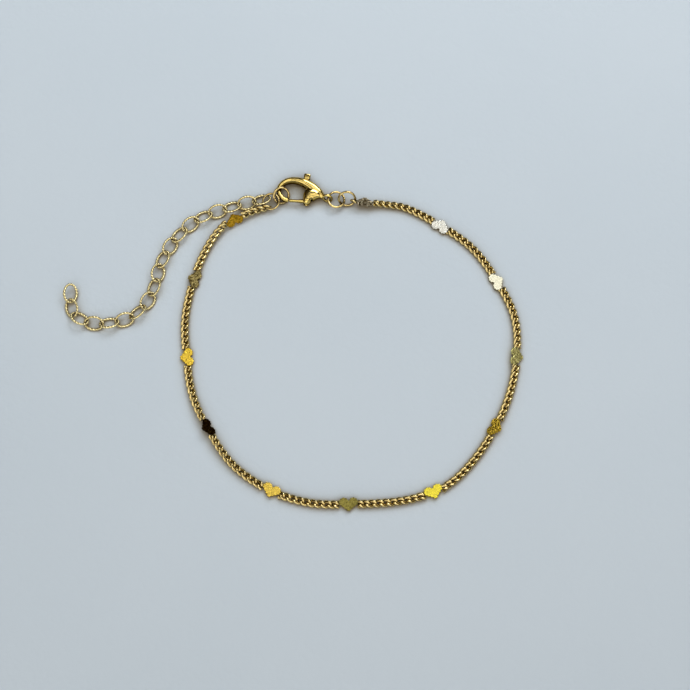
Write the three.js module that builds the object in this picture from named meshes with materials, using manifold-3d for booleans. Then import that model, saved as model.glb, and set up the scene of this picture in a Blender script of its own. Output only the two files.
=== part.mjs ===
// Heart charm bracelet: a fine curb chain with twelve small flat hearts, a lobster clasp and an
// extender chain of oval links, lying open on a table. Millimetres, +Z up, the table at Z = 0.
import * as THREE from 'three';
import { mergeVertices } from 'three/addons/utils/BufferGeometryUtils.js';
import Module from 'manifold-3d';

const wasm = await Module();
wasm.setup();

// Driving dimensions

// One link of the curb chain: an oval of round wire, twisted a little over a quarter turn end to end.
const curb = { length: 1.777, width: 1.33, wire: 0.33, twist: 109 };
// What a link seats into the next one in a stretch, and what it keeps clear of a heart's loop.
const weld = 0.035;
const loopClearance = 0.09;
// Free links between one heart and the next, and from the last heart to the joining ring.
const linksBetweenHearts = [9, 9, 9, 8, 10, 9, 8, 10, 8, 9, 8];
const linksAfterLastHeart = 4;
// How far the last stretch turns about its length, so that its last link takes the joining ring.
const lastStretchTurn = 66;
// What the chain's lowest wire keeps off the table, so that the tilted hearts clear it.
const tableClearance = 0.065;

// A stamped heart: its lobes point to the middle of the bracelet, its tip points out.
const heart = { width: 3.26, height: 2.3, thickness: 0.4, tipRadius: 0.42 };
// How far each lobe reaches past the heart's middle, so that the two meet in a notch.
const lobeOverlap = 0.05;
// How far a soldered loop stands out past the heart's side, and how far it goes in under the plate.
const loopReach = 0.82;
const loopSeat = 0.1;
// How far each heart is turned about the chain, in degrees. Positive lifts the tip.
const heartRoll = [-30, 5, 3, -18, 18, 4, -6, 4, 40, 5, 12, 52];

// An oval link of the extender, and its clearance in the next one.
const oval = { length: 3.6, width: 2.62, wire: 0.42 };
const ovalClearance = 0.06;
const ovalLinks = 19;
// How far each oval link is turned about the extender, in degrees.
const ovalRoll = [26, -28, 25, -26, 24, -26, 24, -26, 24, -26, 26, -24, 34, -26, 30, -24, 30, -24, 26];

// Jump rings: outer diameter and wire.
const jumpRing = { outer: 3.3, wire: 0.42 };
const joinRing = { outer: 3.2, wire: 0.36 };
const hookRing = { outer: 3.2, wire: 0.44 };

// The lobster clasp, measured in its own plane: from the hook's outer end to the tail ring's.
const clasp = { length: 10.25, width: 4.75, thickness: 2 };
// How far the clasp's spine goes into the wire of its tail ring.
const tailSeat = 0.05;
const tailRing = { outer: 2, wire: 0.46, roll: 74 };
const pin = { diameter: 0.6, clearance: 0.07 };
const lever = {
  thickness: 0.74, clearance: 0.09, hub: 1.2, gateWidth: 0.5, armWidth: 0.62, nubWidth: 1.05,
};

// How far the table's middle of the outline lies from the middle of the wrist loop.
const originShift = { x: 9.175, y: -1.327 };

// Places chosen by hand, as the bracelet lies

// The chain's route from the jump ring past heart 1, clockwise seen from above, to the joining ring.
const chainRoute = [
  { x: 1.25, y: 26.5, lift: 0.6 }, { x: 3.4, y: 26.3, lift: 0.42 }, { x: 6.8, y: 26.0, lift: 0.1 },
  { x: 10.65, y: 25.35, lift: 0 }, { x: 16.6, y: 22.1, lift: 0 }, { x: 22.36, y: 17.7, lift: 0 },
  { x: 26.4, y: 11.8, lift: 0 }, { x: 29.35, y: 5.0, lift: 0.04 }, { x: 29.5, y: -2.1, lift: 0.16 },
  { x: 28.07, y: -8.77, lift: 0.08 }, { x: 25.3, y: -14.9, lift: 0.16 }, { x: 21.09, y: -20.96, lift: 0.03 },
  { x: 17.0, y: -24.66, lift: 0 }, { x: 12.6, y: -26.5, lift: 0 }, { x: 8.42, y: -27.38, lift: 0 },
  { x: 1.31, y: -27.8, lift: 0 }, { x: -5.73, y: -27.6, lift: 0 }, { x: -12.4, y: -25.5, lift: 0 },
  { x: -18.72, y: -21.19, lift: 0.14 }, { x: -23.1, y: -15.0, lift: 0.52 }, { x: -25.87, y: -9.2, lift: 0.14 },
  { x: -27.1, y: -2.9, lift: 0 }, { x: -27.68, y: 4.28, lift: 0 }, { x: -26.5, y: 11.4, lift: 0.06 },
  { x: -24.5, y: 17.1, lift: 0.26 }, { x: -21.6, y: 21.4, lift: 0.66 }, { x: -17.6, y: 23.84, lift: 0.62 },
  { x: -15.7, y: 24.7, lift: 0.42 }, { x: -12.9, y: 25.5, lift: 0.32 },
];
// The extender's route from the joining ring to its loose end.
const extenderRoute = [
  { x: -13.5, y: 26.95, lift: 0.25 }, { x: -17.1, y: 26.3, lift: 0 }, { x: -20.64, y: 25.2, lift: 0 },
  { x: -23.47, y: 24.3, lift: 0 }, { x: -26.04, y: 23.1, lift: 0 }, { x: -28.19, y: 21.3, lift: 0 },
  { x: -29.93, y: 19.2, lift: 0 }, { x: -31.4, y: 16.7, lift: 0 }, { x: -32.4, y: 14.2, lift: 0 },
  { x: -32.8, y: 11.7, lift: 0 }, { x: -33.5, y: 9.1, lift: 0 }, { x: -34.9, y: 6.6, lift: 0 },
  { x: -37.1, y: 4.7, lift: 0 }, { x: -39.7, y: 3.9, lift: 0 }, { x: -42.4, y: 3.7, lift: 0 },
  { x: -45.3, y: 4.2, lift: 0 }, { x: -47.2, y: 5.9, lift: 0 }, { x: -47.6, y: 8.9, lift: 0.14 },
  { x: -47.4, y: 11.5, lift: 0.5 },
];
// Where the clasp's jaw lies, and how far the clasp's length is turned.
const claspPlace = { x: -11.094, y: 26.956, turn: -12.9 };
// Where the routes start and end, measured from the clasp's tail ring and from its jaw.
const chainStart = { x: 4.3835, y: -0.485 };
const chainEnd = { x: -1.8058, y: -1.4565 };
const extenderStart = { x: -2.4058, y: -0.0065 };
// What each route runs on past its last piece.
const chainOverrun = 1.2;
const extenderOverrun = 1;

// How the four jump rings lie: ring_tail through the clasp's tail ring, ring_chain_end through it and the
// first heart's loop, ring_hook round the hook, and ring_join through that, the chain and the extender.
// Each is placed from the clasp's tail ring or from its jaw.
const ringPlaces = [
  { name: 'ring_tail', ring: jumpRing, from: 'tail', x: 1.5735, y: -0.305, z: 1.06, turn: 0, lean: 0, tilt: 6 },
  { name: 'ring_chain_end', ring: jumpRing, from: 'tail', x: 3.467, y: -0.314, z: 1.465, turn: -5.6, lean: 57, tilt: 10.9 },
  { name: 'ring_hook', ring: hookRing, from: 'jaw', x: -0.236, y: 0.504, z: 1.1, turn: -148, lean: -37.5, tilt: -2 },
  { name: 'ring_join', ring: joinRing, from: 'jaw', x: -2.036, y: -0.605, z: 0.993, turn: -4.6, lean: 8.55, tilt: -2.9 },
];

// The hook's and spine's sections from the tail to the tip. Lengths are shares of the clasp's length,
// heights and widths shares of its width, and depths shares of its thickness.
const claspSections = [
  { along: 1 - (tailRing.outer - tailSeat) / clasp.length, across: 0.02, width: 0.2, depth: 0.5 },
  { along: 0.733, across: 0.13, width: 0.32, depth: 0.75 },
  { along: 0.621, across: 0.263, width: 0.35, depth: 0.94 },
  { along: 0.485, across: 0.375, width: 0.31, depth: 1 },
  { along: 0.34, across: 0.425, width: 0.245, depth: 0.94 },
  { along: 0.194, across: 0.375, width: 0.21, depth: 0.82 },
  { along: 0.092, across: 0.21, width: 0.194, depth: 0.7 },
  { along: 0.046, across: -0.02, width: 0.18, depth: 0.62 },
  { along: 0.07, across: -0.23, width: 0.168, depth: 0.56 },
  { along: 0.146, across: -0.38, width: 0.156, depth: 0.52 },
  { along: 0.238, across: -0.425, width: 0.14, depth: 0.46 },
];
// The heel that carries the pin, and the slot that the lever swings in, as outlines in the same shares.
const heelOutline = [
  { along: 0.775, across: -0.06 }, { along: 0.7, across: 0.17 }, { along: 0.515, across: 0.33 },
  { along: 0.465, across: 0.19 }, { along: 0.472, across: -0.06 }, { along: 0.5, across: -0.25 },
  { along: 0.515, across: -0.455 }, { along: 0.61, across: -0.44 }, { along: 0.7, across: -0.25 },
];
const slotOutline = [
  { along: 0.35, across: -0.62 }, { along: 0.625, across: -0.62 }, { along: 0.667, across: -0.27 },
  { along: 0.7, across: 0.65 }, { along: 0.41, across: 0.65 }, { along: 0.43, across: 0.25 },
  { along: 0.35, across: -0.1 },
];
const pinPlace = { along: 0.58, across: -0.274 };
const jaw = { along: 0.146, across: -0.38 };
const gateTip = { along: 0.262, across: -0.418 };
const nubFoot = { along: 0.472, across: 0.56 };
const nubTip = { along: 0.466, across: 0.76 };

const SIDES = 10;
const WIRE_SIDES = 5;
const CORNER = 1 / Math.cos(Math.PI / SIDES);
const degrees = THREE.MathUtils.degToRad;

// Solids

function toSolid(geometry) {
  geometry.deleteAttribute('normal');
  geometry.deleteAttribute('uv');
  const welded = mergeVertices(geometry, 1e-5);
  return new wasm.Manifold(new wasm.Mesh({
    numProp: 3,
    vertProperties: new Float32Array(welded.attributes.position.array),
    triVerts: new Uint32Array(welded.index.array),
  }));
}

function toGeometry(solid) {
  const mesh = solid.getMesh();
  const geometry = new THREE.BufferGeometry();
  geometry.setAttribute('position', new THREE.BufferAttribute(mesh.vertProperties, 3));
  geometry.setIndex(new THREE.BufferAttribute(mesh.triVerts, 1));
  geometry.computeVertexNormals();
  return geometry;
}

// A closed ring of round wire along X (its length) and Y (its width). The wire's section has a corner
// on the inner side, and the ring's ends are flat chords, so two crossing links meet at two ridges.
function ovalRing({ length, width, wire, twist = 0 }) {
  const halfLength = (length - wire) / 2;
  const halfWidth = (width - wire) / 2;
  const ring = new THREE.TorusGeometry(2, 1, WIRE_SIDES, SIDES);
  ring.rotateZ(Math.PI / SIDES);
  const position = ring.attributes.position;
  const point = new THREE.Vector3();
  const axis = new THREE.Vector3(1, 0, 0);
  for (let i = 0; i < position.count; i += 1) {
    point.fromBufferAttribute(position, i);
    const turn = Math.atan2(point.y, point.x);
    const outward = -(Math.hypot(point.x, point.y) - 2) * (wire / 2);
    const up = -point.z * (wire / 2);
    const normal = new THREE.Vector2(halfWidth * Math.cos(turn), halfLength * Math.sin(turn)).normalize();
    point.set(
      halfLength * CORNER * Math.cos(turn) + normal.x * outward,
      halfWidth * CORNER * Math.sin(turn) + normal.y * outward,
      up,
    );
    point.applyAxisAngle(axis, degrees(twist / 2) * THREE.MathUtils.clamp(point.x / halfLength, -1, 1));
    position.setXYZ(i, point.x, point.y, point.z);
  }
  return ring;
}

// A straight-sided plate of an outline, centred on its own thickness.
function plate(shape, thickness, curveSegments = 4) {
  const geometry = new THREE.ExtrudeGeometry(shape, { depth: thickness, bevelEnabled: false, curveSegments });
  geometry.translate(0, 0, -thickness / 2);
  return geometry;
}

// Lays a route at the length that its pieces need. Its shape is scaled about the middle of the loop and
// then moved to its start, and to its end where it has one, by a share that grows along it.
function laidRoute(points, height, length, start, end) {
  let scale = 1;
  let curve = null;
  for (let round = 0; round < 5; round += 1) {
    const scaled = points.map(({ x, y, lift }) => new THREE.Vector3(x * scale, y * scale, height + lift));
    const startMove = start.clone().sub(scaled[0]).setZ(0);
    const endMove = end ? end.clone().sub(scaled[scaled.length - 1]).setZ(0) : startMove;
    const placed = scaled.map((point, i) => point.add(startMove.clone().lerp(endMove, i / (scaled.length - 1))));
    curve = new THREE.CatmullRomCurve3(placed, false, 'centripetal');
    curve.arcLengthDivisions = 4000;
    scale *= length / curve.getLength();
  }
  return { curve, length: curve.getLength() };
}

// Places along a route: X along the chain, Y to its left, Z up.
function placeAt(centre, direction, roll) {
  const along = direction.clone().normalize();
  const left = new THREE.Vector3(0, 0, 1).cross(along).normalize();
  const up = along.clone().cross(left);
  return new THREE.Matrix4()
    .makeBasis(along, left, up)
    .setPosition(centre)
    .multiply(new THREE.Matrix4().makeRotationX(degrees(roll)));
}

// The clasp's own frame: X along it from the hook's outer end, Y across it, the jaw at claspPlace.
const claspPoint = ({ along, across }) => new THREE.Vector2(along * clasp.length, across * clasp.width);
const jawPoint = claspPoint(jaw);
const claspMatrix = new THREE.Matrix4()
  .makeTranslation(claspPlace.x, claspPlace.y, clasp.thickness / 2)
  .multiply(new THREE.Matrix4().makeRotationZ(degrees(claspPlace.turn)))
  .multiply(new THREE.Matrix4().makeTranslation(-jawPoint.x, -jawPoint.y, 0));
const tailCentre = new THREE.Vector3(clasp.length - tailRing.outer / 2, 0, 0);
const anchors = {
  jaw: new THREE.Vector3(claspPlace.x, claspPlace.y, 0),
  tail: tailCentre.clone().applyMatrix4(claspMatrix).setZ(0),
};
const placeFrom = (anchor, { x, y, z = 0 }) => new THREE.Vector3(x, y, z).add(anchors[anchor]);

// Metals

const chainGold = new THREE.MeshStandardMaterial({ color: 0xc9a05a, roughness: 0.25, metalness: 1 });
const heartGold = new THREE.MeshStandardMaterial({ color: 0xe8c15a, roughness: 0.2, metalness: 1 });
const claspGold = new THREE.MeshStandardMaterial({ color: 0xd8b46a, roughness: 0.18, metalness: 1 });

const bracelet = new THREE.Group();
bracelet.position.set(originShift.x, originShift.y, 0);

function addPiece(name, geometry, material, matrix) {
  const mesh = new THREE.Mesh(geometry, material);
  mesh.name = name;
  mesh.applyMatrix4(matrix);
  bracelet.add(mesh);
}

const number = (index) => String(index + 1).padStart(2, '0');

// Curb chain

const curbLink = ovalRing(curb);
curbLink.computeBoundingBox();
const chainHeight = tableClearance - curbLink.boundingBox.min.z;
const curbPitch = curb.length - 2 * curb.wire + weld;
const loopPitch = curb.length - 2 * curb.wire - loopClearance;
const loopCentre = heart.width / 2 + loopReach - curb.length / 2;
const heartReach = loopCentre + loopPitch;

// The route starts at the middle of the wire at the end of the first heart's loop.
const firstHeart = loopCentre + (curb.length - curb.wire) / 2;
const lastLink = linksBetweenHearts.reduce(
  (sum, count) => sum + 2 * heartReach + (count - 1) * curbPitch, firstHeart,
) + heartReach + (linksAfterLastHeart - 1) * curbPitch;
const chain = laidRoute(
  chainRoute, chainHeight, lastLink + chainOverrun, placeFrom('tail', chainStart), placeFrom('jaw', chainEnd),
);

function placeOnChain(distance, roll) {
  const share = distance / chain.length;
  return placeAt(chain.curve.getPointAt(share), chain.curve.getTangentAt(share), roll);
}

function curbRun(start, count, firstRoll, lastRoll) {
  const middle = placeOnChain(start + ((count - 1) * curbPitch) / 2, 0);
  const toMiddle = middle.clone().invert();
  let run = null;
  for (let i = 0; i < count; i += 1) {
    const roll = THREE.MathUtils.lerp(firstRoll, lastRoll, (i + 1) / (count + 1));
    const place = placeOnChain(start + i * curbPitch, roll);
    const solid = toSolid(curbLink.clone().applyMatrix4(toMiddle.clone().multiply(place)));
    run = run ? run.add(solid) : solid;
  }
  return { geometry: toGeometry(run), matrix: middle };
}

// Hearts

function heartShape({ width, height, tipRadius }) {
  const lobeRadius = width / 4 + lobeOverlap / 2;
  const lobeX = width / 2 - lobeRadius;
  const lobeY = height / 2 - lobeRadius;
  const tipY = tipRadius - height / 2;
  const notchY = lobeY + Math.sqrt(lobeRadius ** 2 - lobeX ** 2);
  const notchTurn = Math.atan2(notchY - lobeY, lobeX);
  const across = Math.hypot(lobeX, lobeY - tipY);
  const sideTurn = Math.acos((lobeRadius - tipRadius) / across) - Math.atan2(lobeY - tipY, lobeX);
  const shape = new THREE.Shape();
  shape.moveTo(0, notchY);
  shape.absarc(-lobeX, lobeY, lobeRadius, notchTurn, Math.PI + sideTurn, false);
  shape.absarc(0, tipY, tipRadius, Math.PI + sideTurn, 2 * Math.PI - sideTurn, false);
  shape.absarc(lobeX, lobeY, lobeRadius, -sideTurn, Math.PI - notchTurn, false);
  return shape;
}

// The part of a soldered end link that stands out past the plate, with a little under it.
function solderedLoop(side) {
  const loop = toSolid(ovalRing(curb).translate(loopCentre * side, 0, 0));
  const kept = new THREE.BoxGeometry(curb.length, 2 * curb.width, 2 * curb.width);
  const inner = heart.width / 2 - loopSeat;
  kept.translate((inner + curb.length / 2) * side, 0, 0);
  return loop.intersect(toSolid(kept));
}

const heartSolid = toSolid(plate(heartShape(heart), heart.thickness, 2))
  .add(solderedLoop(1))
  .add(solderedLoop(-1))
  .simplify(0.01);
const heartGeometry = toGeometry(heartSolid);

let position = firstHeart;
heartRoll.forEach((roll, index) => {
  // The route runs clockwise, so its left side is the outside. The heart is turned round to put its tip there.
  const turned = new THREE.Matrix4().makeRotationZ(Math.PI);
  addPiece(`heart_${number(index)}`, heartGeometry, heartGold, placeOnChain(position, roll).multiply(turned));
  const last = index === heartRoll.length - 1;
  const count = last ? linksAfterLastHeart : linksBetweenHearts[index];
  const run = curbRun(position + heartReach, count, roll, last ? lastStretchTurn : heartRoll[index + 1]);
  addPiece(`curb_run_${number(index)}`, run.geometry, chainGold, run.matrix);
  position += 2 * heartReach + (count - 1) * curbPitch;
});

// Extender

const ovalPitch = oval.length - 2 * oval.wire - ovalClearance;
const extender = laidRoute(
  extenderRoute, 0, ovalLinks * ovalPitch + extenderOverrun, placeFrom('jaw', extenderStart),
);
const ovalHalfWidth = (CORNER * (oval.width - oval.wire)) / 2;
const ovalGeometry = ovalRing(oval);

for (let i = 0; i < ovalLinks; i += 1) {
  const start = extender.curve.getPointAt((i * ovalPitch) / extender.length);
  const end = extender.curve.getPointAt(((i + 1) * ovalPitch) / extender.length);
  const roll = ovalRoll[i];
  const centre = start.clone().add(end).multiplyScalar(0.5);
  centre.z += ovalHalfWidth * Math.sin(degrees(Math.abs(roll))) + oval.wire / 2;
  const matrix = placeAt(centre, end.clone().sub(start), roll);
  addPiece(`extender_link_${number(i)}`, ovalGeometry, chainGold, matrix);
}

// Lobster clasp

// A bar of round-cornered oval section through the sections, closed at both ends.
function bentBar(sections, sides = 8) {
  const bar = new THREE.CylinderGeometry(1, 1, 1, sides, sections.length - 1);
  bar.rotateY(Math.PI / sides);
  const middles = sections.map(claspPoint);
  const position = bar.attributes.position;
  for (let i = 0; i < position.count; i += 1) {
    const station = Math.round((0.5 - position.getY(i)) * (sections.length - 1));
    const before = middles[Math.max(station - 1, 0)];
    const after = middles[Math.min(station + 1, sections.length - 1)];
    const tangent = after.clone().sub(before).normalize();
    const half = (sections[station].width * clasp.width) / 2;
    const sideways = position.getX(i) * half;
    const up = position.getZ(i) * (sections[station].depth * clasp.thickness) / 2;
    position.setXYZ(i, middles[station].x - tangent.y * sideways, middles[station].y + tangent.x * sideways, up);
  }
  return toSolid(bar);
}

function roundBar(centre, diameter, thickness) {
  const bar = new THREE.CylinderGeometry(diameter / 2, diameter / 2, thickness, 12);
  bar.rotateX(Math.PI / 2).translate(centre.x, centre.y, 0);
  return toSolid(bar);
}

function flatBar(from, to, width, thickness) {
  const bar = new THREE.BoxGeometry(from.distanceTo(to), width, thickness);
  bar.rotateZ(Math.atan2(to.y - from.y, to.x - from.x)).translate((from.x + to.x) / 2, (from.y + to.y) / 2, 0);
  return toSolid(bar);
}

const pinCentre = claspPoint(pinPlace);
const slotThickness = lever.thickness + 2 * lever.clearance;
const tail = ovalRing({ length: tailRing.outer, width: tailRing.outer, wire: tailRing.wire });
tail.rotateX(degrees(tailRing.roll)).translate(tailCentre.x, tailCentre.y, tailCentre.z);
const claspBody = bentBar(claspSections)
  .add(toSolid(plate(new THREE.Shape(heelOutline.map(claspPoint)), clasp.thickness)))
  .subtract(toSolid(plate(new THREE.Shape(slotOutline.map(claspPoint)), slotThickness)))
  .add(roundBar(pinCentre, pin.diameter, clasp.thickness - lever.clearance))
  .add(toSolid(tail));
addPiece('clasp_body', toGeometry(claspBody), claspGold, claspMatrix);

// The lever turns on the pin: its gate shuts the hook and its nub stands out past the spine.
const leverSolid = roundBar(pinCentre, lever.hub, lever.thickness)
  .add(flatBar(pinCentre, claspPoint(gateTip), lever.gateWidth, lever.thickness))
  .add(flatBar(pinCentre, claspPoint(nubFoot), lever.armWidth, lever.thickness))
  .add(flatBar(claspPoint(nubFoot), claspPoint(nubTip), lever.nubWidth, lever.thickness))
  .subtract(roundBar(pinCentre, pin.diameter + 2 * pin.clearance, 2 * lever.thickness));
addPiece('clasp_lever', toGeometry(leverSolid), claspGold, claspMatrix);

// Jump rings

function ringGeometry({ outer, wire }) {
  return ovalRing({ length: outer, width: outer, wire });
}

ringPlaces.forEach(({ name, ring, from, x, y, z, turn, lean, tilt }) => {
  const matrix = new THREE.Matrix4()
    .makeRotationFromEuler(new THREE.Euler(degrees(lean), degrees(tilt), degrees(turn), 'ZYX'))
    .setPosition(placeFrom(from, { x, y, z }));
  addPiece(name, ringGeometry(ring), chainGold, matrix);
});

export default bracelet;
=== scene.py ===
"""Heart charm bracelet lying open on a pale table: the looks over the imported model, in metres."""
import math

import bmesh
import bpy
from mathutils import Matrix, Vector


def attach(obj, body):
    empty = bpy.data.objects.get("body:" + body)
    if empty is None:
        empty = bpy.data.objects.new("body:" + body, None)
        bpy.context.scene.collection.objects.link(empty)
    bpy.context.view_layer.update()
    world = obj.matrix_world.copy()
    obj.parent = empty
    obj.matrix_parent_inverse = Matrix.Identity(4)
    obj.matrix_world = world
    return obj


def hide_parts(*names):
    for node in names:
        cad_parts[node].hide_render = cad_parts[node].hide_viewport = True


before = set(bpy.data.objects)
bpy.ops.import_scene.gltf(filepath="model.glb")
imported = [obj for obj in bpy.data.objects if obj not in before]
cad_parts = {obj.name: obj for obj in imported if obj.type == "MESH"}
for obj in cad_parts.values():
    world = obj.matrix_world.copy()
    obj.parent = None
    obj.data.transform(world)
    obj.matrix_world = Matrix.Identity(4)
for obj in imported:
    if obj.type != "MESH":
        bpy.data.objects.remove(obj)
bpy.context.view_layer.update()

# Table and light
# A plain painted board, cool grey-blue, with the faint orange-peel of a roller, and painted warm shade
# close to the gold. A big soft window behind and to the right, and a pale ceiling, let the shadows fall
# short in front.

mm = 0.001
loop_middle = Vector((9.175, -1.327, 0.0)) * mm

scene = bpy.context.scene
scene.view_settings.view_transform = "Standard"
scene.view_settings.look = "None"

table_reach = 4.0
table_mesh = bpy.data.meshes.new("table_top")
sheet = bmesh.new()
bmesh.ops.create_grid(sheet, x_segments=1, y_segments=1, size=table_reach)
sheet.to_mesh(table_mesh)
sheet.free()
table_top = bpy.data.objects.new("table_top", table_mesh)
scene.collection.objects.link(table_top)

table_paint = bpy.data.materials.new("table_paint")
table_paint.use_nodes = True
nodes = table_paint.node_tree.nodes
links = table_paint.node_tree.links
paint = nodes["Principled BSDF"]
paint.inputs["Roughness"].default_value = 0.62
paint.inputs["Specular IOR Level"].default_value = 0.25
spot = nodes.new("ShaderNodeTexCoord")
cloud = nodes.new("ShaderNodeTexNoise")
cloud.inputs["Scale"].default_value = 14.0
cloud.inputs["Detail"].default_value = 3.0
peel = nodes.new("ShaderNodeTexNoise")
peel.inputs["Scale"].default_value = 900.0
peel.inputs["Detail"].default_value = 4.0
tone = nodes.new("ShaderNodeValToRGB")
tone.color_ramp.elements[0].position = 0.3
tone.color_ramp.elements[0].color = (0.545, 0.610, 0.680, 1.0)
tone.color_ramp.elements[1].position = 0.7
tone.color_ramp.elements[1].color = (0.570, 0.632, 0.700, 1.0)
nearby = nodes.new("ShaderNodeAmbientOcclusion")
nearby.samples = 8
nearby.inputs["Distance"].default_value = 0.0025
# Painted warm shade: the board darkens and warms wherever metal is near it.
painted_warm_shade = nodes.new("ShaderNodeValToRGB")
painted_warm_shade.color_ramp.elements[0].position = 0.42
painted_warm_shade.color_ramp.elements[0].color = (0.60, 0.44, 0.25, 1.0)
painted_warm_shade.color_ramp.elements[1].position = 0.92
painted_warm_shade.color_ramp.elements[1].color = (1.0, 1.0, 1.0, 1.0)
shaded_paint = nodes.new("ShaderNodeMix")
shaded_paint.data_type = "RGBA"
shaded_paint.blend_type = "MULTIPLY"
shaded_paint.inputs["Factor"].default_value = 1.0
dimple = nodes.new("ShaderNodeBump")
dimple.inputs["Strength"].default_value = 0.35
dimple.inputs["Distance"].default_value = 0.0002
links.new(spot.outputs["Object"], cloud.inputs["Vector"])
links.new(spot.outputs["Object"], peel.inputs["Vector"])
links.new(cloud.outputs["Fac"], tone.inputs["Fac"])
links.new(nearby.outputs["AO"], painted_warm_shade.inputs["Fac"])
links.new(tone.outputs["Color"], shaded_paint.inputs["A"])
links.new(painted_warm_shade.outputs["Color"], shaded_paint.inputs["B"])
links.new(shaded_paint.outputs["Result"], paint.inputs["Base Color"])
links.new(peel.outputs["Fac"], dimple.inputs["Height"])
links.new(dimple.outputs["Normal"], paint.inputs["Normal"])
table_mesh.materials.append(table_paint)

camera_data = bpy.data.cameras.new("camera")
camera = bpy.data.objects.new("camera", camera_data)
scene.collection.objects.link(camera)
scene.camera = camera
camera_data.sensor_width = 36.0
camera_data.lens = 67.83
camera_data.clip_start = 0.005
camera_data.clip_end = 10.0
view_height = math.radians(73.0)
view_distance = 224.1 * mm
camera.location = loop_middle + Vector((0.0, -math.cos(view_height), math.sin(view_height))) * view_distance
camera.rotation_euler = (math.radians(90.0) - view_height, 0.0, 0.0)


def soft_light(name, place, size, power, colour, mirrored):
    """A rectangle of light aimed at the bracelet. Only a mirrored one shows in the gold."""
    data = bpy.data.lights.new(name, "AREA")
    data.shape = "RECTANGLE"
    data.size = size[0]
    data.size_y = size[1]
    data.energy = power
    data.color = colour
    lamp = bpy.data.objects.new(name, data)
    scene.collection.objects.link(lamp)
    lamp.location = place
    lamp.rotation_euler = (loop_middle - Vector(place)).to_track_quat("-Z", "Y").to_euler()
    lamp.visible_glossy = mirrored


soft_light(
    "window", place=(0.16, 0.34, 0.36), size=(0.3, 0.22), power=1.12,
    colour=(0.92, 0.95, 0.98), mirrored=True,
)
soft_light(
    "ceiling", place=(-0.08, 0.2, 0.45), size=(0.3, 0.3), power=0.64,
    colour=(0.8, 0.93, 1.0), mirrored=False,
)

sky = bpy.data.worlds.new("room")
scene.world = sky
sky.use_nodes = True
room = sky.node_tree
facing = room.nodes.new("ShaderNodeTexCoord")
height = room.nodes.new("ShaderNodeVectorMath")
height.operation = "DOT_PRODUCT"
height.inputs[1].default_value = (0.0, -0.6, 1.0)
walls = room.nodes.new("ShaderNodeValToRGB")
walls.color_ramp.elements[0].position = 0.3
walls.color_ramp.elements[0].color = (0.025, 0.02, 0.012, 1.0)
walls.color_ramp.elements[1].position = 0.8
walls.color_ramp.elements[1].color = (1.0, 0.95, 0.87, 1.0)
upper = walls.color_ramp.elements.new(0.64)
upper.color = (0.08, 0.065, 0.045, 1.0)
furniture = room.nodes.new("ShaderNodeTexNoise")
furniture.inputs["Scale"].default_value = 5.0
furniture.inputs["Detail"].default_value = 1.0
shade = room.nodes.new("ShaderNodeMapRange")
shade.inputs["From Min"].default_value = 0.4
shade.inputs["From Max"].default_value = 0.55
shade.inputs["To Min"].default_value = 0.15
dimmed = room.nodes.new("ShaderNodeMix")
dimmed.data_type = "RGBA"
dimmed.blend_type = "MULTIPLY"
dimmed.inputs["Factor"].default_value = 1.0
room.links.new(facing.outputs["Generated"], height.inputs[0])
room.links.new(height.outputs["Value"], walls.inputs["Fac"])
room.links.new(facing.outputs["Generated"], furniture.inputs["Vector"])
room.links.new(furniture.outputs["Fac"], shade.inputs["Value"])
room.links.new(walls.outputs["Color"], dimmed.inputs["A"])
room.links.new(shade.outputs["Result"], dimmed.inputs["B"])
room.links.new(dimmed.outputs["Result"], room.nodes["Background"].inputs["Color"])
room.nodes["Background"].inputs["Strength"].default_value = 1.5

# Curb chain
# Small oval links of brass wire, pressed a little flat and twisted over a quarter turn so that the
# chain lies flat. Twelve stretches run between the hearts. The wire is thicker than the plain part's,
# so the links lie 0.03 mm higher than there.

chain_height = 0.508
curb_length = 1.777
curb_width = 1.33
curb_wire = 0.33
curb_play = 0.035
wire_swell = 0.25
link_stretch = 0.44
link_spread = 0.12
wire_flatness = 0.68
curb_twist = math.radians(109.0)
curb_pitch = curb_length - 2.0 * curb_wire + curb_play
links_between = [9, 9, 9, 8, 10, 9, 8, 10, 8, 9, 8, 4]
heart_rolls = [-30.0, 5.0, 3.0, -18.0, 18.0, 4.0, -6.0, 4.0, 40.0, 5.0, 12.0, 52.0]
last_stretch_roll = 66.0
chain_points = [
    (1.25, 26.5, 0.6), (3.398, 26.3, 0.42), (6.794, 26.0, 0.1), (10.641, 25.35, 0.0), (16.585, 22.103, 0.0),
    (22.339, 17.707, 0.0), (26.375, 11.812, 0.0), (29.322, 5.018, 0.04), (29.471, -2.075, 0.16),
    (28.042, -8.739, 0.08), (25.274, -14.864, 0.16), (21.068, -20.918, 0.03), (16.981, -24.615, 0.0),
    (12.584, -26.454, 0.0), (8.408, -27.333, 0.0), (1.303, -27.753, 0.0), (-5.731, -27.553, 0.0),
    (-12.395, -25.455, 0.0), (-18.71, -21.148, 0.14), (-23.087, -14.964, 0.52), (-25.855, -9.169, 0.14),
    (-27.084, -2.875, 0.0), (-27.664, 4.299, 0.0), (-26.485, 11.412, 0.06), (-24.488, 17.107, 0.26),
    (-21.591, 21.403, 0.66), (-17.595, 23.841, 0.62), (-15.697, 24.7, 0.42), (-12.9, 25.5, 0.32),
]
steps_between = 200
close_by = 0.05


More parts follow.
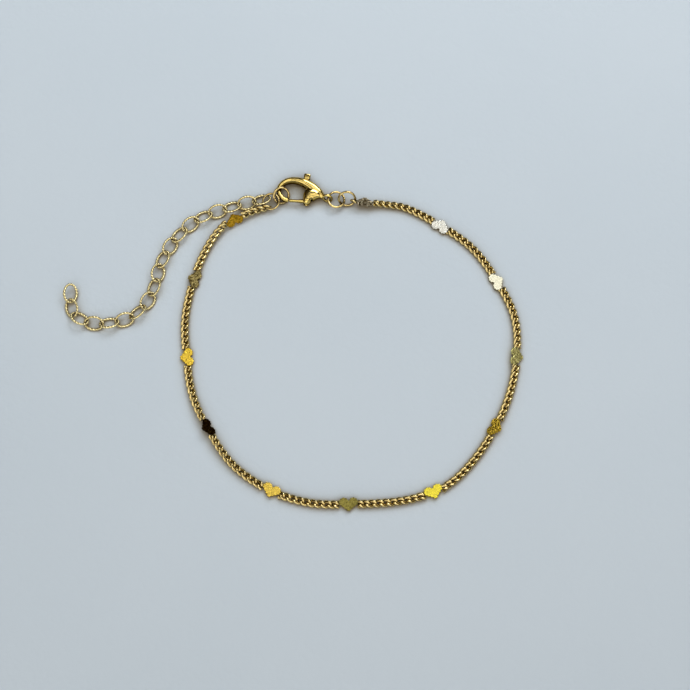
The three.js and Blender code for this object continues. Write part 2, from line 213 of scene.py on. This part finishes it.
def laid_route(points, height):
    """Close steps along a smooth curve through the points, each with its distance from the start."""
    knots = [Vector((x, y, lift + height)) for x, y, lift in points]
    knots.insert(0, 2.0 * knots[0] - knots[1])
    knots.append(2.0 * knots[-1] - knots[-2])
    steps = [(0.0, knots[1])]
    for i in range(1, len(knots) - 2):
        before, start, end, after = knots[i - 1:i + 3]
        gap_0 = math.sqrt((start - before).length)
        gap_1 = math.sqrt((end - start).length)
        gap_2 = math.sqrt((after - end).length)
        leave = (start - before) / gap_0 - (end - before) / (gap_0 + gap_1) + (end - start) / gap_1
        arrive = (end - start) / gap_1 - (after - start) / (gap_1 + gap_2) + (after - end) / gap_2
        leave = leave * gap_1
        arrive = arrive * gap_1
        for k in range(1, steps_between + 1):
            t = k / steps_between
            point = start + leave * t
            point = point + (3.0 * (end - start) - 2.0 * leave - arrive) * t * t
            point = point + (2.0 * (start - end) + leave + arrive) * t * t * t
            steps.append((steps[-1][0] + (point - steps[-1][1]).length, point))
    return steps


def point_on(steps, distance):
    """The point at a distance along a route."""
    low = 0
    high = len(steps) - 1
    while high - low > 1:
        middle = (low + high) // 2
        if steps[middle][0] <= distance:
            low = middle
        else:
            high = middle
    share = (distance - steps[low][0]) / (steps[high][0] - steps[low][0])
    return steps[low][1].lerp(steps[high][1], share)


def lying(centre, direction, roll):
    """The place of a piece whose X runs along the chain, turned about it by roll degrees."""
    along = direction.normalized()
    left = Vector((0.0, 0.0, 1.0)).cross(along).normalized()
    up = along.cross(left)
    turned = Matrix((along, left, up)).transposed().to_4x4() @ Matrix.Rotation(math.radians(roll), 4, "X")
    return Matrix.Translation(centre) @ turned


def place_on(steps, distance, roll):
    """The place of a piece at a distance along a route, facing along it."""
    ahead = point_on(steps, distance + close_by)
    behind = point_on(steps, distance - close_by)
    return lying(point_on(steps, distance), ahead - behind, roll)


def bent_wire(length, width, wire, flat=1.0, twist=0.0, rounds=28, sides=10, strands=0, lay=0.0, cut=0.0):
    """An oval of wire along X, in millimetres. strands and lay groove it like a twisted cord of wire."""
    mandrel = 4.0
    strand_crest = 1.12
    groove_depth = 0.45
    ring = bmesh.new()
    circle = bmesh.ops.create_circle(ring, segments=sides, radius=1.0)
    turn_up = Matrix.Translation((mandrel, 0.0, 0.0)) @ Matrix.Rotation(math.radians(90.0), 4, "X")
    bmesh.ops.transform(ring, matrix=turn_up, verts=circle["verts"])
    start = Matrix.Rotation(cut / 2.0, 4, "Z")
    bmesh.ops.transform(ring, matrix=start, verts=ring.verts)
    bmesh.ops.spin(
        ring, geom=list(ring.verts) + list(ring.edges), cent=(0.0, 0.0, 0.0), axis=(0.0, 0.0, 1.0),
        angle=2.0 * math.pi - cut, steps=rounds, use_merge=cut == 0.0, use_duplicate=False,
    )
    if cut:
        bmesh.ops.holes_fill(ring, edges=[edge for edge in ring.edges if edge.is_boundary], sides=0)
    half_length = (length - wire) / 2.0
    half_width = (width - wire) / 2.0
    for vert in ring.verts:
        turn = math.atan2(vert.co.y, vert.co.x)
        out = math.hypot(vert.co.x, vert.co.y) - mandrel
        up = vert.co.z
        if strands:
            round_wire = math.atan2(up, out)
            between_strands = 0.5 - 0.5 * math.cos(strands * round_wire + lay * turn)
            groove = strand_crest - groove_depth * between_strands
            out = out * groove
            up = up * groove
        normal = Vector((half_width * math.cos(turn), half_length * math.sin(turn))).normalized()
        x = half_length * math.cos(turn) + normal.x * out * wire / 2.0
        y = half_width * math.sin(turn) + normal.y * out * wire / 2.0
        vert.co = Vector((x, y, up * flat * wire / 2.0))
        share = max(-1.0, min(1.0, x / half_length))
        vert.co.rotate(Matrix.Rotation(twist / 2.0 * share, 3, "X"))
    bmesh.ops.recalc_face_normals(ring, faces=ring.faces)
    mesh = bpy.data.meshes.new("wire")
    ring.to_mesh(mesh)
    ring.free()
    return mesh


def finished(name, shapes, material, body, node):
    """One piece made of shapes, each a mesh in millimetres with its place, standing for one CAD node."""
    whole = bmesh.new()
    for mesh, matrix in shapes:
        count = len(whole.verts)
        whole.from_mesh(mesh)
        whole.verts.ensure_lookup_table()
        bmesh.ops.transform(whole, matrix=matrix, verts=whole.verts[count:])
    to_metres = Matrix.Translation(loop_middle) @ Matrix.Scale(mm, 4)
    bmesh.ops.transform(whole, matrix=to_metres, verts=whole.verts)
    for face in whole.faces:
        face.smooth = True
    mesh = bpy.data.meshes.new(name)
    whole.to_mesh(mesh)
    whole.free()
    mesh.materials.append(material)
    piece = bpy.data.objects.new(name, mesh)
    scene.collection.objects.link(piece)
    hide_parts(node)
    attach(piece, body)
    return piece


# Everything on the bracelet is gold-plated brass. The plating varies in tone and has painted shade in
# crevices and near the table, and tumbling leaves a fine ripple that breaks the reflections up.
plating = bpy.data.node_groups.new("plating", "ShaderNodeTree")
plating.interface.new_socket("Colour", in_out="INPUT", socket_type="NodeSocketColor")
plating.interface.new_socket("Ripples per Metre", in_out="INPUT", socket_type="NodeSocketFloat")
plating.interface.new_socket("Gloss", in_out="INPUT", socket_type="NodeSocketFloat")
plating.interface.new_socket("Mottle", in_out="INPUT", socket_type="NodeSocketFloat")
plating.interface.new_socket("Painted Shade Reach", in_out="INPUT", socket_type="NodeSocketFloat")
plating.interface.new_socket("Gold", in_out="OUTPUT", socket_type="NodeSocketColor")
plating.interface.new_socket("Roughness", in_out="OUTPUT", socket_type="NodeSocketFloat")
plating.interface.new_socket("Height", in_out="OUTPUT", socket_type="NodeSocketFloat")
inside = plating.nodes.new("NodeGroupInput")
outside = plating.nodes.new("NodeGroupOutput")
where = plating.nodes.new("ShaderNodeTexCoord")
patches = plating.nodes.new("ShaderNodeTexNoise")
patches.inputs["Detail"].default_value = 2.0
ripple = plating.nodes.new("ShaderNodeTexNoise")
ripple.inputs["Detail"].default_value = 3.0
deeper = plating.nodes.new("ShaderNodeMix")
deeper.data_type = "RGBA"
deeper.blend_type = "MULTIPLY"
deeper.inputs["B"].default_value = (0.12, 0.085, 0.04, 1.0)
spread = plating.nodes.new("ShaderNodeMapRange")
spread.inputs["From Min"].default_value = 0.42
spread.inputs["From Max"].default_value = 0.62
worn = plating.nodes.new("ShaderNodeMapRange")
worn.inputs["From Min"].default_value = 0.3
worn.inputs["From Max"].default_value = 0.7
worn.inputs["To Min"].default_value = -0.04
worn.inputs["To Max"].default_value = 0.1
sheen = plating.nodes.new("ShaderNodeMath")
sheen.operation = "ADD"
# Painted shade: the gold darkens to brown wherever other metal or the table is within the reach.
closeness = plating.nodes.new("ShaderNodeAmbientOcclusion")
closeness.samples = 8
painted_shade = plating.nodes.new("ShaderNodeValToRGB")
painted_shade.color_ramp.elements[0].position = 0.42
painted_shade.color_ramp.elements[0].color = (0.06, 0.035, 0.005, 1.0)
painted_shade.color_ramp.elements[1].position = 0.92
painted_shade.color_ramp.elements[1].color = (1.0, 1.0, 1.0, 1.0)
shaded_gold = plating.nodes.new("ShaderNodeMix")
shaded_gold.data_type = "RGBA"
shaded_gold.blend_type = "MULTIPLY"
shaded_gold.inputs["Factor"].default_value = 1.0
plating.links.new(where.outputs["Object"], patches.inputs["Vector"])
plating.links.new(where.outputs["Object"], ripple.inputs["Vector"])
plating.links.new(inside.outputs["Ripples per Metre"], patches.inputs["Scale"])
plating.links.new(inside.outputs["Ripples per Metre"], ripple.inputs["Scale"])
plating.links.new(inside.outputs["Mottle"], spread.inputs["To Max"])
plating.links.new(inside.outputs["Painted Shade Reach"], closeness.inputs["Distance"])
plating.links.new(patches.outputs["Fac"], spread.inputs["Value"])
plating.links.new(spread.outputs["Result"], deeper.inputs["Factor"])
plating.links.new(inside.outputs["Colour"], deeper.inputs["A"])
plating.links.new(ripple.outputs["Fac"], worn.inputs["Value"])
plating.links.new(worn.outputs["Result"], sheen.inputs[0])
plating.links.new(inside.outputs["Gloss"], sheen.inputs[1])
plating.links.new(closeness.outputs["AO"], painted_shade.inputs["Fac"])
plating.links.new(deeper.outputs["Result"], shaded_gold.inputs["A"])
plating.links.new(painted_shade.outputs["Color"], shaded_gold.inputs["B"])
plating.links.new(shaded_gold.outputs["Result"], outside.inputs["Gold"])
plating.links.new(sheen.outputs["Value"], outside.inputs["Roughness"])
plating.links.new(ripple.outputs["Fac"], outside.inputs["Height"])


def gold(name, colour, roughness, ripples_per_metre, ripple_depth, mottle, painted_shade_reach):
    """A gold finish with painted shade where other metal or the table is nearer than painted_shade_reach,
    in metres.
    """
    metal = bpy.data.materials.new(name)
    metal.use_nodes = True
    tree = metal.node_tree
    shader = tree.nodes["Principled BSDF"]
    shader.inputs["Metallic"].default_value = 1.0
    shader.inputs["Specular Tint"].default_value = (0.45, 0.34, 0.18, 1.0)
    coat = tree.nodes.new("ShaderNodeGroup")
    coat.node_tree = plating
    coat.inputs["Colour"].default_value = (*colour, 1.0)
    coat.inputs["Ripples per Metre"].default_value = ripples_per_metre
    coat.inputs["Gloss"].default_value = roughness
    coat.inputs["Mottle"].default_value = mottle
    coat.inputs["Painted Shade Reach"].default_value = painted_shade_reach
    bump = tree.nodes.new("ShaderNodeBump")
    bump.inputs["Strength"].default_value = 0.6
    bump.inputs["Distance"].default_value = ripple_depth
    tree.links.new(coat.outputs["Gold"], shader.inputs["Base Color"])
    tree.links.new(coat.outputs["Roughness"], shader.inputs["Roughness"])
    tree.links.new(coat.outputs["Height"], bump.inputs["Height"])
    tree.links.new(bump.outputs["Normal"], shader.inputs["Normal"])
    return metal


chain_gold = gold(
    "chain_gold", (1.0, 0.80, 0.36), roughness=0.16, ripples_per_metre=3500.0, ripple_depth=0.00003,
    mottle=0.25, painted_shade_reach=0.0007,
)
chain_steps = laid_route(chain_points, chain_height)
curb_link = bent_wire(
    curb_length + link_stretch, curb_width + link_spread, curb_wire + wire_swell,
    flat=wire_flatness, twist=curb_twist,
)

heart_width = 3.26
loop_reach = 0.82
loop_seat = 0.1
loop_play = 0.09
loop_centre = heart_width / 2.0 + loop_reach - curb_length / 2.0
heart_reach = loop_centre + curb_length - 2.0 * curb_wire - loop_play
heart_places = []
rolls = heart_rolls + [last_stretch_roll]
distance = loop_centre + (curb_length - curb_wire) / 2.0
for index, count in enumerate(links_between):
    first = rolls[index]
    last = rolls[index + 1]
    heart_places.append(place_on(chain_steps, distance, first))
    stretch = []
    for i in range(count):
        roll = first + (last - first) * (i + 1) / (count + 1)
        place = place_on(chain_steps, distance + heart_reach + i * curb_pitch, roll)
        stretch.append((curb_link, place))
    name = f"curb_stretch_{index + 1:02d}"
    finished(name, stretch, chain_gold, "bracelet", f"curb_run_{index + 1:02d}")
    distance += 2.0 * heart_reach + (count - 1) * curb_pitch

# Hearts
# Flat hearts stamped from thin sheet, with a beaded edge and a hammered face, tip outwards. A link of
# the chain's wire is soldered in under each side. They turn with the chain, and some tip up steeply.

heart_height = 2.3
heart_thickness = 0.4
lobe_overlap = 0.05
rim_rounding = 0.05
lobe_radius = heart_width / 4.0 + lobe_overlap / 2.0
tip_radius = 0.5
lobe_steps = 22
tip_steps = 6
longest_step = 0.4
straight_cuts = 9
beads = 17
bead_depth = 0.11
lobe_x = heart_width / 2.0 - lobe_radius
lobe_y = heart_height / 2.0 - lobe_radius
tip_y = tip_radius - heart_height / 2.0
notch_y = lobe_y + math.sqrt(lobe_radius ** 2 - lobe_x ** 2)
notch_turn = math.atan2(notch_y - lobe_y, lobe_x)
side_length = math.hypot(lobe_x, lobe_y - tip_y)
side_turn = math.acos((lobe_radius - tip_radius) / side_length) - math.atan2(lobe_y - tip_y, lobe_x)


def swept_arc(plate, centre, start_turn, angle, radius, steps):
    """The vertices of one arc of the outline, made by spinning a point about its centre."""
    start = Vector((math.cos(start_turn), math.sin(start_turn), 0.0)) * radius + centre
    first = bmesh.ops.create_vert(plate, co=start)["vert"][0]
    before = set(plate.verts) - {first}
    bmesh.ops.spin(
        plate, geom=[first], cent=centre, axis=(0.0, 0.0, 1.0), angle=angle, steps=steps,
        use_merge=False, use_duplicate=False,
    )
    arc = [vert for vert in plate.verts if vert not in before]
    arc.sort(key=lambda vert: math.atan2(
        *reversed((Matrix.Rotation(-start_turn - angle / 2.0, 3, "Z") @ (vert.co - centre))[:2])
    ))
    return arc


plate = bmesh.new()
left_lobe = swept_arc(plate, Vector((-lobe_x, lobe_y, 0.0)), notch_turn, math.pi + side_turn - notch_turn,
                      lobe_radius, lobe_steps)
tip = swept_arc(plate, Vector((0.0, tip_y, 0.0)), math.pi + side_turn, math.pi - 2.0 * side_turn,
                tip_radius, tip_steps)
right_lobe = swept_arc(plate, Vector((lobe_x, lobe_y, 0.0)), -side_turn, math.pi + side_turn - notch_turn,
                       lobe_radius, lobe_steps)
bmesh.ops.contextual_create(plate, geom=[left_lobe[-1], tip[0]])
bmesh.ops.contextual_create(plate, geom=[tip[-1], right_lobe[0]])
bmesh.ops.remove_doubles(plate, verts=plate.verts, dist=0.02)
straight = [edge for edge in plate.edges if edge.calc_length() > longest_step]
bmesh.ops.subdivide_edges(plate, edges=straight, cuts=straight_cuts)
bmesh.ops.subdivide_edges(plate, edges=plate.edges, cuts=1)
plate.verts.ensure_lookup_table()
rim = [plate.verts[0]]
edge = rim[0].link_edges[0]
while True:
    following = edge.other_vert(rim[-1])
    if following is rim[0]:
        break
    rim.append(following)
    edge = [other for other in following.link_edges if other is not edge][0]
travelled = [0.0]
for a, b in zip(rim, rim[1:] + rim[:1]):
    travelled.append(travelled[-1] + (b.co - a.co).length)
places = [vert.co.copy() for vert in rim]
turning = sum(a.cross(b).z for a, b in zip(places, places[1:] + places[:1]))
inward = Matrix.Rotation(math.copysign(math.pi / 2.0, turning), 3, "Z")
for i, vert in enumerate(rim):
    wave = 0.5 - 0.5 * math.cos(2.0 * math.pi * beads * travelled[i] / travelled[-1])
    along = places[(i + 1) % len(places)] - places[i - 1]
    vert.co += (inward @ along).normalized() * bead_depth * wave
bmesh.ops.contextual_create(plate, geom=plate.edges)
under = list(plate.faces)
bmesh.ops.translate(plate, verts=plate.verts, vec=(0.0, 0.0, -heart_thickness / 2.0))
raised = bmesh.ops.extrude_face_region(plate, geom=under)
top_verts = [item for item in raised["geom"] if isinstance(item, bmesh.types.BMVert)]
bmesh.ops.translate(plate, verts=top_verts, vec=(0.0, 0.0, heart_thickness))
bmesh.ops.recalc_face_normals(plate, faces=plate.faces)
rims = [edge for edge in plate.edges if abs(edge.verts[0].co.z - edge.verts[1].co.z) < 0.01]
bmesh.ops.bevel(
    plate, geom=rims, offset=rim_rounding, segments=2, profile=0.5, affect="EDGES", material=-1,
)
bmesh.ops.triangulate(plate, faces=[face for face in plate.faces if len(face.verts) > 4])
heart_plate = bpy.data.meshes.new("heart_plate")
plate.to_mesh(heart_plate)
plate.free()


def soldered_loop(side):
    """The outer end of a curb link, cut off a little inside the plate's edge."""
    loop = bmesh.new()
    loop.from_mesh(curb_link)
    bmesh.ops.translate(loop, verts=loop.verts, vec=(loop_centre * side, 0.0, 0.0))
    cut = Vector(((heart_width / 2.0 - loop_seat) * side, 0.0, 0.0))
    bmesh.ops.bisect_plane(
        loop, geom=list(loop.verts) + list(loop.edges) + list(loop.faces), plane_co=cut,
        plane_no=(side, 0.0, 0.0), clear_inner=True,
    )
    bmesh.ops.holes_fill(loop, edges=[edge for edge in loop.edges if edge.is_boundary], sides=0)
    bmesh.ops.recalc_face_normals(loop, faces=loop.faces)
    mesh = bpy.data.meshes.new("soldered_loop")
    loop.to_mesh(mesh)
    loop.free()
    return mesh


right_loop = soldered_loop(1.0)
left_loop = soldered_loop(-1.0)
# Painted reflections: each plate's colour, from near white to near black, stands for the part of the room
# that heart mirrors.
heart_painted_reflections = [
    (0.52, 0.44, 0.30), (0.91, 0.93, 0.88), (1.0, 1.0, 0.81), (0.85, 0.80, 0.32),
    (0.88, 0.61, 0.07), (1.0, 0.87, 0.085), (0.30, 0.265, 0.068), (0.97, 0.71, 0.124),
    (0.022, 0.012, 0.002), (0.98, 0.69, 0.076), (0.34, 0.275, 0.107), (0.70, 0.41, 0.03),
]
heart_ripples = [0.6, 0.12, 0.06, 0.12, 0.25, 0.06, 0.22, 0.12, 0.5, 0.12, 0.5, 0.4]
mottle_share = 1.6
tip_outwards = Matrix.Rotation(math.pi, 4, "Z")
for index, place in enumerate(heart_places):
    metal = gold(
        f"heart_gold_{index + 1:02d}", heart_painted_reflections[index], roughness=0.24, ripples_per_metre=2400.0,
        ripple_depth=heart_ripples[index] * mm, mottle=heart_ripples[index] * mottle_share,
        painted_shade_reach=0.0004,
    )
    facing_out = place @ tip_outwards
    shapes = [(heart_plate, facing_out), (right_loop, facing_out), (left_loop, facing_out)]
    name = f"heart_charm_{index + 1:02d}"
    piece = finished(name, shapes, metal, "bracelet", f"heart_{index + 1:02d}")
    piece.data.materials.append(chain_gold)
    plate_faces = len(heart_plate.polygons)
    for face in piece.data.polygons[plate_faces:]:
        face.material_index = 1
    for face in piece.data.polygons[:plate_faces]:
        face.use_smooth = False

# Extender
# Nineteen oval links of fine wire that was twisted before it was bent, so that it glints in dashes.
# The links tilt each way in turn, and the last two are propped up on the ones before them.

oval_length = 3.6
oval_width = 2.62
oval_wire = 0.42
oval_play = 0.06
oval_pitch = oval_length - 2.0 * oval_wire - oval_play
oval_corners = 10.0
oval_half_width = (oval_width - oval_wire) / 2.0 / math.cos(math.pi / oval_corners)
oval_rolls = [26, -28, 25, -26, 24, -26, 24, -26, 24, -26, 26, -24, 34, -26, 30, -24, 30, -24, 26]
extender_points = [
    (-13.5, 26.95, 0.25), (-17.117, 26.296, 0.0), (-20.675, 25.191, 0.0), (-23.518, 24.287, 0.0),
    (-26.101, 23.081, 0.0), (-28.261, 21.272, 0.0), (-30.01, 19.162, 0.0), (-31.487, 16.649, 0.0),
    (-32.492, 14.137, 0.0), (-32.894, 11.625, 0.0), (-33.597, 9.012, 0.0), (-35.004, 6.5, 0.0),
    (-37.215, 4.591, 0.0), (-39.828, 3.787, 0.0), (-42.541, 3.586, 0.0), (-45.455, 4.088, 0.0),
    (-47.364, 5.797, 0.0), (-47.766, 8.811, 0.14), (-47.565, 11.424, 0.5),
]
extender_gold = gold(
    "extender_gold", (1.0, 0.86, 0.46), roughness=0.12, ripples_per_metre=3000.0, ripple_depth=0.00002,
    mottle=0.15, painted_shade_reach=0.0006,
)
extender_steps = laid_route(extender_points, 0.0)
oval_link = bent_wire(oval_length, oval_width, oval_wire, rounds=120, sides=12, strands=2, lay=18.0)
for index, roll in enumerate(oval_rolls):
    start = point_on(extender_steps, index * oval_pitch)
    end = point_on(extender_steps, (index + 1) * oval_pitch)
    centre = (start + end) / 2.0
    centre.z += oval_half_width * math.sin(math.radians(abs(roll))) + oval_wire / 2.0
    place = lying(centre, end - start, roll)
    name = f"oval_link_{index + 1:02d}"
    node = f"extender_link_{index + 1:02d}"
    finished(name, [(oval_link, place)], extender_gold, "bracelet", node)

# Jump rings
# Four rings of plain round wire, bent shut with a cut that stays visible: one in the clasp's tail
# ring, one at the first heart, one on the hook, and one that joins it to the chain and the extender.

ring_cut = math.radians(2.5)
ring_gold = gold(
    "ring_gold", (0.92, 0.72, 0.32), roughness=0.1, ripples_per_metre=2500.0, ripple_depth=0.00002,
    mottle=0.4, painted_shade_reach=0.0022,
)
ring_places = [
    ("ring_tail", 3.3, 0.42, (-1.56, 26.68, 1.06), (0.0, 6.0, 0.0)),
    ("ring_chain_end", 3.3, 0.42, (0.334, 26.67, 1.465), (57.0, 10.9, -5.6)),
    ("ring_hook", 3.2, 0.44, (-11.33, 27.46, 1.1), (-37.5, -2.0, -148.0)),
    ("ring_join", 3.2, 0.36, (-13.13, 26.351, 0.993), (8.55, -2.9, -4.6)),
]
for name, outer, wire, centre, (lean, tilt, turn) in ring_places:
    turned = Matrix.Rotation(math.radians(turn), 4, "Z")
    turned = turned @ Matrix.Rotation(math.radians(tilt), 4, "Y")
    turned = turned @ Matrix.Rotation(math.radians(lean), 4, "X")
    ring = bent_wire(outer, outer, wire, rounds=48, sides=12, cut=ring_cut)
    place = Matrix.Translation(centre) @ turned
    finished(f"{name}_wire", [(ring, place)], ring_gold, "bracelet", name)

# Lobster clasp
# A cast clasp: a rounded hook that thickens into the spine and heel, with a tail ring, a slot through
# the heel and spine, and a riveted pin. The lever turns on the pin; its gate is thin, its nub wide.

clasp_gold = gold(
    "clasp_gold", (1.0, 0.77, 0.25), roughness=0.08, ripples_per_metre=900.0, ripple_depth=0.00003,
    mottle=0.25, painted_shade_reach=0.0036,
)
lever_thickness = 0.74
slot_width = 0.92
pin_place = (5.945, -1.302)
pin_radius = 0.3
pin_bore = 0.37
rivet_length = 1.99
bore_length = 2.0
hub_radius = 0.6
tail_outer = 2.0
tail_wire = 0.46
tail_turn = 74.0
tail_reach = 9.25
hook_end = (-12.15, 29.05, 1.0)
clasp_turn = -12.9
clasp_place = Matrix.Translation(hook_end) @ Matrix.Rotation(math.radians(clasp_turn), 4, "Z")
hook_path = [
    (8.5, -0.02, 0.85, 0.95), (8.3, 0.095, 0.95, 1.0), (7.51, 0.618, 1.52, 1.5),
    (6.365, 1.249, 1.66, 1.88), (4.97, 1.781, 1.47, 2.0), (3.485, 2.019, 1.16, 1.88),
    (1.989, 1.781, 1.0, 1.64), (0.943, 0.998, 0.92, 1.4), (0.472, -0.095, 0.86, 1.24),
    (0.718, -1.093, 0.8, 1.12), (1.497, -1.805, 0.74, 1.04), (2.44, -2.019, 0.62, 0.86),
    (2.6, -2.03, 0.4, 0.5),
]
heel_path = [
    (7.85, 0.05, 0.7, 1.2), (7.3, 0.1, 1.6, 1.7), (6.6, 0.05, 2.5, 1.9), (6.05, -0.25, 2.3, 1.96),
    (5.85, -0.9, 1.7, 1.98), (5.8, -1.5, 1.3, 1.9), (5.8, -1.95, 0.9, 1.5), (5.8, -2.12, 0.5, 0.9),
]
nub_path = [
    (4.84, 2.3, 0.55, 0.6), (4.83, 2.6, 0.8, 0.74), (4.82, 2.8, 1.12, 0.8), (4.8, 3.2, 1.18, 0.82),
    (4.78, 3.55, 1.16, 0.8), (4.777, 3.66, 1.0, 0.68),
]
gate_path = [
    (5.95, -1.3, 0.9, 0.74), (5.1, -1.55, 0.62, 0.74), (4.2, -1.73, 0.46, 0.74), (3.3, -1.88, 0.44, 0.72),
    (2.85, -1.95, 0.42, 0.66), (2.7, -1.985, 0.3, 0.46),
]
arm_path = [
    (5.945, -1.3, 1.0, 0.74), (5.6, -0.1, 0.66, 0.74), (5.2, 1.3, 0.6, 0.74), (4.84, 2.66, 0.62, 0.74),
]


def cast_bar(path, sides=32, finer=8, squareness=0.8):
    """A closed bar through (x, y, width, depth) stations, its section a rounded rectangle."""
    bar = bmesh.new()
    middles = [Vector((x, y, 0.0)) for x, y, _, _ in path]
    sizes = [Vector((width, depth, 0.0)) for _, _, width, depth in path]
    stations = []
    for i in range(len(path) - 1):
        for k in range(finer):
            t = k / finer
            place = []
            for values in (middles, sizes):
                before = values[max(i - 1, 0)]
                after = values[min(i + 2, len(values) - 1)]
                start = values[i]
                end = values[i + 1]
                smooth = start * 2.0 + (end - before) * t
                smooth = smooth + (2.0 * before - 5.0 * start + 4.0 * end - after) * t * t
                smooth = smooth + (3.0 * start - before - 3.0 * end + after) * t * t * t
                place.append(smooth / 2.0)
            stations.append(place)
    stations.append([middles[-1], sizes[-1]])
    rings = []
    for i, (middle, size) in enumerate(stations):
        tangent = (stations[min(i + 1, len(stations) - 1)][0] - stations[max(i - 1, 0)][0]).normalized()
        across = Vector((-tangent.y, tangent.x, 0.0))
        ring = bmesh.ops.create_circle(bar, segments=sides, radius=1.0)["verts"]
        for vert in ring:
            x = math.copysign(abs(vert.co.x) ** squareness, vert.co.x) * size.x / 2.0
            z = math.copysign(abs(vert.co.y) ** squareness, vert.co.y) * size.y / 2.0
            vert.co = middle + across * x + Vector((0.0, 0.0, z))
        edges = list({edge for vert in ring for edge in vert.link_edges})
        if rings:
            bmesh.ops.bridge_loops(bar, edges=rings[-1] + edges)
        rings.append(edges)
    bmesh.ops.holes_fill(bar, edges=[edge for edge in bar.edges if edge.is_boundary], sides=0)
    bmesh.ops.recalc_face_normals(bar, faces=bar.faces)
    mesh = bpy.data.meshes.new("bar")
    bar.to_mesh(mesh)
    bar.free()
    return mesh


def disc(centre, radius, depth, edge=0.0, sides=40):
    """A round bar through the clasp, centred on its middle plane, with a rounded edge."""
    bar = bmesh.new()
    bmesh.ops.create_cone(bar, cap_ends=True, segments=sides, radius1=radius, radius2=radius, depth=depth)
    if edge:
        rims = [line for line in bar.edges if abs(line.verts[0].co.z - line.verts[1].co.z) < 0.001]
        bmesh.ops.bevel(
            bar, geom=rims, offset=edge, segments=4, profile=0.5, affect="EDGES", material=-1,
        )
    bmesh.ops.translate(bar, verts=bar.verts, vec=(centre[0], centre[1], 0.0))
    mesh = bpy.data.meshes.new("disc")
    bar.to_mesh(mesh)
    bar.free()
    return mesh


def cut_block(outline, depth):
    """A straight-sided block over an outline, centred on the clasp's middle plane."""
    block = bmesh.new()
    corners = [bmesh.ops.create_vert(block, co=(x, y, -depth / 2.0))["vert"][0] for x, y in outline]
    face = bmesh.ops.contextual_create(block, geom=corners)["faces"]
    raised = bmesh.ops.extrude_face_region(block, geom=face)
    top = [item for item in raised["geom"] if isinstance(item, bmesh.types.BMVert)]
    bmesh.ops.translate(block, verts=top, vec=(0.0, 0.0, depth))
    bmesh.ops.recalc_face_normals(block, faces=block.faces)
    mesh = bpy.data.meshes.new("block")
    block.to_mesh(mesh)
    block.free()
    return mesh


def cast(name, shapes, voxel, rounds, cuts):
    """Melts the shapes into one skin, softens it, and takes the cuts out of it."""
    whole = bmesh.new()
    for shape in shapes:
        whole.from_mesh(shape)
    mesh = bpy.data.meshes.new(name)
    whole.to_mesh(mesh)
    whole.free()
    blank = bpy.data.objects.new(name, mesh)
    scene.collection.objects.link(blank)
    skin = blank.modifiers.new("skin", "REMESH")
    skin.mode = "VOXEL"
    skin.voxel_size = voxel
    soften = blank.modifiers.new("soften", "SMOOTH")
    soften.factor = 0.5
    soften.iterations = rounds
    tools = []
    for cut in cuts:
        tool = bpy.data.objects.new("tool", cut)
        scene.collection.objects.link(tool)
        tools.append(tool)
        slot_cut = blank.modifiers.new("cut", "BOOLEAN")
        slot_cut.operation = "DIFFERENCE"
        slot_cut.solver = "MANIFOLD"
        slot_cut.object = tool
    seen = blank.evaluated_get(bpy.context.evaluated_depsgraph_get())
    result = bpy.data.meshes.new_from_object(seen)
    for thing in [blank] + tools:
        bpy.data.objects.remove(thing)
    return result


tail_ring = bent_wire(tail_outer, tail_outer, tail_wire, rounds=48, sides=16)
tail_place = Matrix.Translation((tail_reach, 0.0, 0.0)) @ Matrix.Rotation(math.radians(tail_turn), 4, "X")
slot_outline = [
    (3.588, -2.945), (6.406, -2.945), (6.837, -1.283), (7.175, 3.088), (4.203, 3.088), (4.408, 1.188),
    (3.588, -0.475),
]
slot_block = cut_block(slot_outline, slot_width)
body_skin = cast(
    "clasp_skin", [cast_bar(hook_path), cast_bar(heel_path)], voxel=0.05, rounds=6, cuts=[slot_block],
)
rivet = disc(pin_place, pin_radius, rivet_length, edge=0.06)
finished("clasp_casting", [
    (body_skin, clasp_place), (rivet, clasp_place), (tail_ring, clasp_place @ tail_place),
], clasp_gold, "bracelet", "clasp_body")

lever_shapes = [
    disc(pin_place, hub_radius, lever_thickness, edge=0.05), cast_bar(gate_path, squareness=0.6),
    cast_bar(arm_path, squareness=0.6), cast_bar(nub_path, squareness=0.4),
]
bore = disc(pin_place, pin_bore, bore_length)
lever_skin = cast("lever_skin", lever_shapes, voxel=0.04, rounds=3, cuts=[bore])
finished("clasp_gate", [(lever_skin, clasp_place)], clasp_gold, "gate", "clasp_lever")
